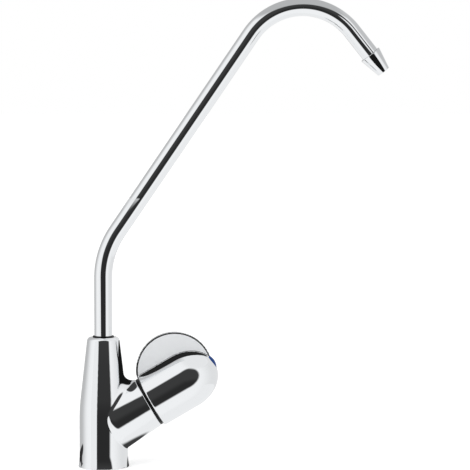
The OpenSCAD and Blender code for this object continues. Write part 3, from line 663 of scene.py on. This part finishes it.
def handle_knob():
    """Knob and fin in one skin, bored from its open end to the seat of the cap."""
    tip = [(x * KNOB_R, DOME_S + y * DOME_LEN) for x, y in arc((0, 0), 1, 0, 90, DOME_STEPS)]
    knob = spun([(0, KNOB_S), (KNOB_R, KNOB_S)] + tip, VALVE)
    across = VALVE @ Matrix.Translation((-FIN_RISE, 0, FIN_S)) @ TO_THE_FRONT
    fin = spun([(0, -FIN_T / 2), (FIN_R, -FIN_T / 2), (FIN_R, FIN_T / 2), (0, FIN_T / 2)], across)
    bm = one_skin(knob, fin)
    settle(bm, handle_gap)
    past = 0.002
    bore = spun([(0, KNOB_S - past), (SKIRT_R, KNOB_S - past), (SKIRT_R, SKIRT_S),
                 (INSERT_R, SKIRT_S), (INSERT_R, INSERT_S), (SCREW_R, INSERT_S), (SCREW_R, HEAD_S),
                 (HEAD_R, HEAD_S), (HEAD_R, POLE_S), (0, POLE_S)], VALVE)
    cap_seat = spun([(0, POLE_S - CAP_T), (CAP_R + SEAT_GAP, POLE_S - CAP_T),
                     (CAP_R + SEAT_GAP, POLE_S + past), (0, POLE_S + past)], CAP_AXIS)
    return combined(combined(bm, bore, "DIFFERENCE"), cap_seat, "DIFFERENCE")


def index_cap():
    """Blue cap with a crown that rises from the knob's tip, and a hollow stem in the screw bore."""
    seat = POLE_S - CAP_T + SEAT_GAP
    crown_round = (CAP_R ** 2 + CAP_CROWN ** 2) / (2 * CAP_CROWN)
    crown_turn = math.degrees(math.acos(CAP_R / crown_round))
    crown = arc((0, CAP_EDGE_S + CAP_CROWN - crown_round), crown_round, crown_turn, 90, CROWN_STEPS)
    head = spun([(0, seat), (CAP_R, seat)] + crown, CAP_AXIS)
    stem_r, stem_end, stem_top = HEAD_R - SEAT_GAP, seat - CAP_STEM_LEN, seat + CAP_T / 2
    stem = spun([(CAP_HOLLOW_R, stem_end), (stem_r, stem_end), (stem_r, stem_top),
                 (CAP_HOLLOW_R, stem_top)], VALVE, closed=True)
    return combined(head, stem, "UNION")


piece("handle_with_fin", handle_knob(), handle_chrome(), "handle", "chrome", "handle_knob")
piece("blue_index_cap", index_cap(), finishes["blue_abs"], "handle", "blue_abs", "index_cap")
glide_r = HOUSING_END_R - GLIDE_INSET
glide = washer_outline(glide_r, glide_r - GLIDE_W, HOUSING_LEN, HOUSING_LEN + GLIDE_T, RING_EDGE)
piece("black_glide_ring", spun(glide, VALVE, closed=True), finishes["black_acetal"], "column",
      "black_acetal", "glide_ring")


# Spout

rise_top = Vector((0, 0, COLUMN_H + RISE_H))
arm_run = Vector((math.sin(LEAN), 0, math.cos(LEAN)))
end_run = Vector((math.sin(OUTLET_LEAN), 0, -math.cos(OUTLET_LEAN)))
lower_centre = rise_top + Vector((LOWER_BEND_R, 0, 0))
arm_end = lower_centre + LOWER_BEND_R * Vector((-arm_run.z, 0, arm_run.x)) + ARM_LEN * arm_run
arch_centre = arm_end + ARCH_R * Vector((arm_run.z, 0, -arm_run.x))
tube_end = arch_centre + ARCH_R * Vector((-end_run.z, 0, end_run.x)) + END_LEN * end_run
OUTLET = Matrix.Translation(tube_end) @ Matrix.Rotation(math.pi - OUTLET_LEAN, 4, "Y")


def spout_wall(bm, r):
    """One wall of the spout tube, drawn along its runs and bends; returns its two end loops."""
    ring = bmesh.ops.create_circle(bm, segments=TUBE_SIDES, radius=r,
                                   matrix=Matrix.Translation((0, 0, TUBE_FOOT_Z)))["verts"]
    first = list({edge for vert in ring for edge in vert.link_edges})
    edges = first
    runs = ((rise_top - Vector((0, 0, TUBE_FOOT_Z)), lower_centre, LEAN, LOWER_STEPS),
            (arm_run * ARM_LEN, arch_centre, math.pi - LEAN - OUTLET_LEAN, ARCH_STEPS),
            (end_run * END_LEN, None, 0, 0))
    for along, bend_centre, turn, steps in runs:
        made = bmesh.ops.extrude_edge_only(bm, edges=edges)["geom"]
        edges = [item for item in made if isinstance(item, bmesh.types.BMEdge)]
        verts = [item for item in made if isinstance(item, bmesh.types.BMVert)]
        bmesh.ops.translate(bm, vec=along, verts=verts)
        if bend_centre:
            last = bmesh.ops.spin(bm, geom=verts + edges, cent=bend_centre, axis=(0, 1, 0),
                                  angle=turn, steps=steps)["geom_last"]
            edges = [item for item in last if isinstance(item, bmesh.types.BMEdge)]
    return first, edges


def spout_tube():
    """Bent tube with its real wall."""
    bm = bmesh.new()
    outer, inner = spout_wall(bm, TUBE_R), spout_wall(bm, TUBE_R - TUBE_WALL)
    for ends in zip(outer, inner):
        bmesh.ops.bridge_loops(bm, edges=ends[0] + ends[1])
    bmesh.ops.recalc_face_normals(bm, faces=bm.faces)
    return bm


def nozzle_outline():
    """Outline of the conical nozzle: softened edges, a stub in the tube, a pocket at its mouth."""
    slope = math.degrees(math.atan((NOZZLE_R - TIP_R) / NOZZLE_LEN))
    outline = [(NOZZLE_BORE_R, -NOZZLE_STUB), (NOZZLE_STUB_R, -NOZZLE_STUB),
               (NOZZLE_STUB_R, SEAT_GAP)]
    outline += arc((NOZZLE_R - NOZZLE_EDGE, SEAT_GAP + NOZZLE_EDGE), NOZZLE_EDGE, -90, slope,
                   RIM_STEPS)
    tip_edge = NOZZLE_EDGE / 2
    outline += arc((TIP_R - tip_edge, NOZZLE_LEN - tip_edge), tip_edge, slope, 90, RIM_STEPS)
    outline += [(POCKET_R, NOZZLE_LEN), (POCKET_R, NOZZLE_LEN - POCKET_LEN),
                (NOZZLE_BORE_R, NOZZLE_LEN - POCKET_LEN)]
    return outline


piece("swan_neck_tube", spout_tube(), chrome, "spout", "chrome", "spout_tube")
piece("outlet_nozzle", spun(nozzle_outline(), OUTLET, closed=True), chrome, "spout", "chrome",
      "nozzle_tip")
bush = washer_outline(BUSH_R, BUSH_IN_R, COLUMN_H - BUSH_DEPTH + SEAT_GAP, COLUMN_H + BUSH_LIP,
                      RING_EDGE)
piece("black_spout_bush", spun(bush, closed=True), finishes["black_acetal"], "column",
      "black_acetal", "spout_bush")


# Fixings under the worktop

def thread(bm, r, bottom, top, pitch, depth):
    """Draws the skin of a turned rod in along a helix, with a run-out at both ends."""
    for vert in bm.verts:
        if bottom < vert.co.z < top and vert.co.to_2d().length > r - WELD:
            turn = vert.co.z / pitch - math.atan2(vert.co.y, vert.co.x) / math.tau
            tooth = abs(2 * (turn % 1) - 1)
            run_out = min(1, (vert.co.z - bottom) / pitch, (top - vert.co.z) / pitch)
            inwards = 1 - depth * tooth * run_out / r
            vert.co.xy *= inwards


def rod_side(r, bottom, top, pitch):
    """Side of a rod with rings that are close enough for its thread."""
    rings = round(RINGS_A_TURN * (top - bottom) / pitch)
    return [(r, bottom + (top - bottom) * i / rings) for i in range(rings + 1)]


def threaded_shank():
    """Hollow threaded rod, with a relief and a smaller thread at its inlet end."""
    low, high = (corner.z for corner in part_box("mounting_shank"))
    rod_r, inlet_top = SHANK_R - SEAT_GAP, low + INLET_LEN
    rod_low = inlet_top + RELIEF_H
    outline = [(SHANK_BORE_R, low), (INLET_END_R - THREAD_BEVEL, low)]
    outline += rod_side(INLET_END_R, low + THREAD_BEVEL, inlet_top - THREAD_BEVEL, INLET_PITCH)
    outline += [(RELIEF_R, inlet_top), (RELIEF_R, rod_low), (rod_r - THREAD_BEVEL, rod_low)]
    outline += rod_side(rod_r, rod_low + THREAD_BEVEL, high - THREAD_BEVEL, THREAD_PITCH)
    outline += [(rod_r - THREAD_BEVEL, high), (SHANK_BORE_R, high)]
    bm = spun(outline, closed=True, steps=THREAD_STEPS)
    thread(bm, INLET_END_R, low, inlet_top, INLET_PITCH, INLET_DEPTH)
    thread(bm, rod_r, rod_low, high, THREAD_PITCH, THREAD_DEPTH)
    return bm


def lock_nut():
    """Hexagon nut with bevelled corners and a bevelled bore."""
    low, high = (corner.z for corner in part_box("mounting_nut"))
    flat, corner = NUT_FLATS / 2, NUT_FLATS / 2 / math.cos(math.pi / NUT_SIDES)
    bevel = (corner - flat) * math.tan(NUT_SLOPE)
    hexagon = spun([(0, low), (corner, low), (corner, high), (0, high)], steps=NUT_SIDES)
    turned = spun([(0, low), (flat, low), (corner, low + bevel), (corner, high - bevel),
                   (flat, high), (0, high)])
    wide = SHANK_R + 2 * NUT_BEVEL
    bore = spun([(0, low - NUT_BEVEL), (wide, low - NUT_BEVEL), (SHANK_R, low + NUT_BEVEL),
                 (SHANK_R, high - NUT_BEVEL), (wide, high + NUT_BEVEL), (0, high + NUT_BEVEL)])
    return combined(combined(hexagon, turned, "INTERSECT"), bore, "DIFFERENCE")


piece("threaded_shank", threaded_shank(), finishes["brass"], "column", "brass", "mounting_shank")
piece("brass_lock_nut", lock_nut(), finishes["brass"], "column", "brass", "mounting_nut")
hole_r = SHANK_R + SLIP_GAP
for name, node, slot, inner, edge in (
        ("rubber_deck_washer", "deck_washer", "rubber", hole_r, RUBBER_EDGE),
        ("steel_backing_washer", "backing_washer", "steel", hole_r, THIN_EDGE),
        ("base_gasket_ring", "base_gasket", "rubber", GASKET_R - GASKET_W + SEAT_GAP, THIN_EDGE)):
    low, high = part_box(node)
    ring = spun(washer_outline(high.x, inner, low.z, high.z, edge), closed=True)
    piece(name, ring, finishes[slot], "column", slot, node)


# Solids that keep their own shape get the finish of their slot

for part in frame["record"]["subparts"]:
    for place in frame["nodes"][part["node"]].material_slots:
        place.material = finishes[part["material_slot"]]


# Studio

def floor_finish():
    """Matt white worktop, lifted to the white of the room where it is looked at."""
    made, tree, shader = new_finish("matt_white_worktop", FLOOR_WHITE)
    tree.nodes.remove(shader)
    matt = add(tree, "ShaderNodeBsdfDiffuse", {"Color": linear(FLOOR_WHITE)})
    path = add(tree, "ShaderNodeLightPath")
    seen = add(tree, "ShaderNodeMath", {0: path.outputs["Is Camera Ray"],
                                        1: path.outputs["Is Glossy Ray"]}, operation="MAXIMUM")
    lift = add(tree, "ShaderNodeMath", {0: seen.outputs["Value"], 1: FLOOR_GLOW},
               operation="MULTIPLY")
    glow = add(tree, "ShaderNodeEmission", {"Strength": lift.outputs["Value"]})
    both = add(tree, "ShaderNodeAddShader", {0: matt.outputs["BSDF"], 1: glow.outputs["Emission"]})
    tree.links.new(both.outputs["Shader"], tree.nodes["Material Output"].inputs["Surface"])
    return made


def studio_world():
    """White room, greyer towards the back, with a dark oval opening behind the camera."""
    world = bpy.data.worlds.new("white_studio")
    world.use_nodes = True
    bpy.context.scene.world = world
    tree = world.node_tree
    tree.nodes.clear()
    way = add(tree, "ShaderNodeTexCoord").outputs["Generated"]
    turned = add(tree, "ShaderNodeVectorRotate", {"Vector": way, "Angle": -CAMERA_AZIMUTH},
                 rotation_type="Z_AXIS")
    xyz = add(tree, "ShaderNodeSeparateXYZ", {"Vector": turned.outputs["Vector"]}).outputs
    ahead = add(tree, "ShaderNodeMath", {0: xyz["Y"], 1: -1}, operation="MULTIPLY").outputs["Value"]
    turns = (add(tree, "ShaderNodeMath", {0: xyz["X"], 1: ahead}, operation="ARCTAN2"),
             add(tree, "ShaderNodeMath", {0: xyz["Z"]}, operation="ARCSINE"))
    side, height = (add(tree, "ShaderNodeMath", {0: turn.outputs["Value"]},
                        operation="DEGREES").outputs["Value"] for turn in turns)
    point = add(tree, "ShaderNodeCombineXYZ", {"X": side, "Y": height}).outputs["Vector"]
    oval = add(tree, "ShaderNodeMapping",
               {"Vector": point, "Location": (*OPENING_MIDDLE, 0), "Rotation": (0, 0, OPENING_TURN),
                "Scale": (*OPENING_HALF, 1)}, vector_type="TEXTURE").outputs["Vector"]
    out = add(tree, "ShaderNodeVectorMath", {0: oval}, operation="LENGTH").outputs["Value"]

    values = {"side": side, "height": height, "out": out}
    fades = {name: add(tree, "ShaderNodeMapRange",
                       {"Value": values[value], "From Min": begins, "From Max": ends,
                        "To Min": first, "To Max": last},
                       interpolation_type="SMOOTHSTEP").outputs["Result"]
             for name, (value, begins, ends, first, last) in ROOM_FADES.items()}
    walls = add(tree, "ShaderNodeMath", {0: fades["left_wall"], 1: fades["right_wall"]},
                operation="MULTIPLY").outputs["Value"]
    white = add(tree, "ShaderNodeMath", {0: walls, 1: fades["below"]}, operation="MAXIMUM")
    level = add(tree, "ShaderNodeMix", {"Factor": fades["opening"], "A": white.outputs["Value"],
                                        "B": fades["inside"]}).outputs["Result"]
    room = add(tree, "ShaderNodeBackground", {"Color": (1, 1, 1, 1), "Strength": level})
    backdrop = add(tree, "ShaderNodeBackground", {"Color": (1, 1, 1, 1), "Strength": 1})
    path = add(tree, "ShaderNodeLightPath")
    mix = add(tree, "ShaderNodeMixShader", {"Fac": path.outputs["Is Camera Ray"],
                                            1: room.outputs["Background"],
                                            2: backdrop.outputs["Background"]})
    output = add(tree, "ShaderNodeOutputWorld")
    tree.links.new(mix.outputs["Shader"], output.inputs["Surface"])


def studio_floor():
    """Round pale worktop under the tap; in its place the metal shows the room's white below."""
    bm = bmesh.new()
    bmesh.ops.create_circle(bm, cap_ends=True, segments=FLOOR_SIDES, radius=FLOOR_R,
                            matrix=Matrix.Translation((0, 0, -FLOOR_DROP)))
    made = new_object("worktop", bm)
    made.data.materials.append(floor_finish())
    made.visible_glossy = False


def card(name, middle, turn, half, level, soft):
    """Oval card, out of the picture, whose front shows only in the metal and fades at its edge."""
    turn = Euler([math.radians(angle) for angle in turn])
    place = Matrix.Translation(middle) @ turn.to_matrix().to_4x4() @ Matrix.Diagonal((*half, 1, 1))
    bm = bmesh.new()
    bmesh.ops.create_grid(bm, x_segments=1, y_segments=1, size=1, matrix=place)
    finish, tree, shader = new_finish(name, "#000000")
    tree.nodes.remove(shader)
    where = add(tree, "ShaderNodeTexCoord").outputs["Object"]
    from_middle = add(tree, "ShaderNodeMapping",
                      {"Vector": where, "Location": middle, "Rotation": turn, "Scale": (*half, 1)},
                      vector_type="TEXTURE").outputs["Vector"]
    out = add(tree, "ShaderNodeVectorMath", {0: from_middle}, operation="LENGTH").outputs["Value"]
    shown = add(tree, "ShaderNodeMapRange", {"Value": out, "From Min": 1 - soft, "From Max": 1,
                                             "To Min": 1, "To Max": 0},
                interpolation_type="SMOOTHSTEP").outputs["Result"]
    behind = add(tree, "ShaderNodeNewGeometry").outputs["Backfacing"]
    front = add(tree, "ShaderNodeMath", {0: shown, 1: behind}, operation="SUBTRACT", use_clamp=True)
    glow = add(tree, "ShaderNodeEmission", {"Strength": level})
    clear = add(tree, "ShaderNodeBsdfTransparent")
    both = add(tree, "ShaderNodeMixShader",
               {"Fac": front.outputs["Value"], 1: clear.outputs["BSDF"],
                2: glow.outputs["Emission"]})
    tree.links.new(both.outputs["Shader"], tree.nodes["Material Output"].inputs["Surface"])
    made = new_object(name, bm)
    made.data.materials.append(finish)
    made.visible_camera = made.visible_diffuse = made.visible_shadow = False
    return made


def soft_lamp():
    """Large soft lamp at the front left for the matt surfaces; the metal doesn't show it."""
    data = bpy.data.lights.new("soft_lamp", "AREA")
    data.size = LAMP_SIZE
    data.energy = LAMP_POWER
    lamp = bpy.data.objects.new("soft_lamp", data)
    lamp.matrix_world = (Matrix.Translation(LAMP_PLACE)
                         @ (LAMP_PLACE - CAMERA_AIM).to_track_quat("Z", "Y").to_matrix().to_4x4())
    lamp.visible_glossy = False
    bpy.context.scene.collection.objects.link(lamp)


def studio_camera():
    """Long lens at the photograph's angle, aimed at the middle of its frame."""
    data = bpy.data.cameras.new("camera")
    data.lens = CAMERA_LENS
    camera = bpy.data.objects.new("camera", data)
    turn = (Matrix.Rotation(CAMERA_AZIMUTH, 4, "Z")
            @ Matrix.Rotation(math.pi / 2 - CAMERA_PITCH, 4, "X"))
    camera.matrix_world = (Matrix.Translation(CAMERA_AIM) @ turn
                           @ Matrix.Translation((0, 0, CAMERA_DISTANCE)))
    bpy.context.scene.collection.objects.link(camera)
    bpy.context.scene.camera = camera


studio_world()
studio_floor()
cards = {settings[0]: card(*settings) for settings in CARDS}
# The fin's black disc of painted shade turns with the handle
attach(cards["fin_painted_shade_card"], "handle")
soft_lamp()
studio_camera()
bpy.context.scene.view_settings.view_transform = "Standard"
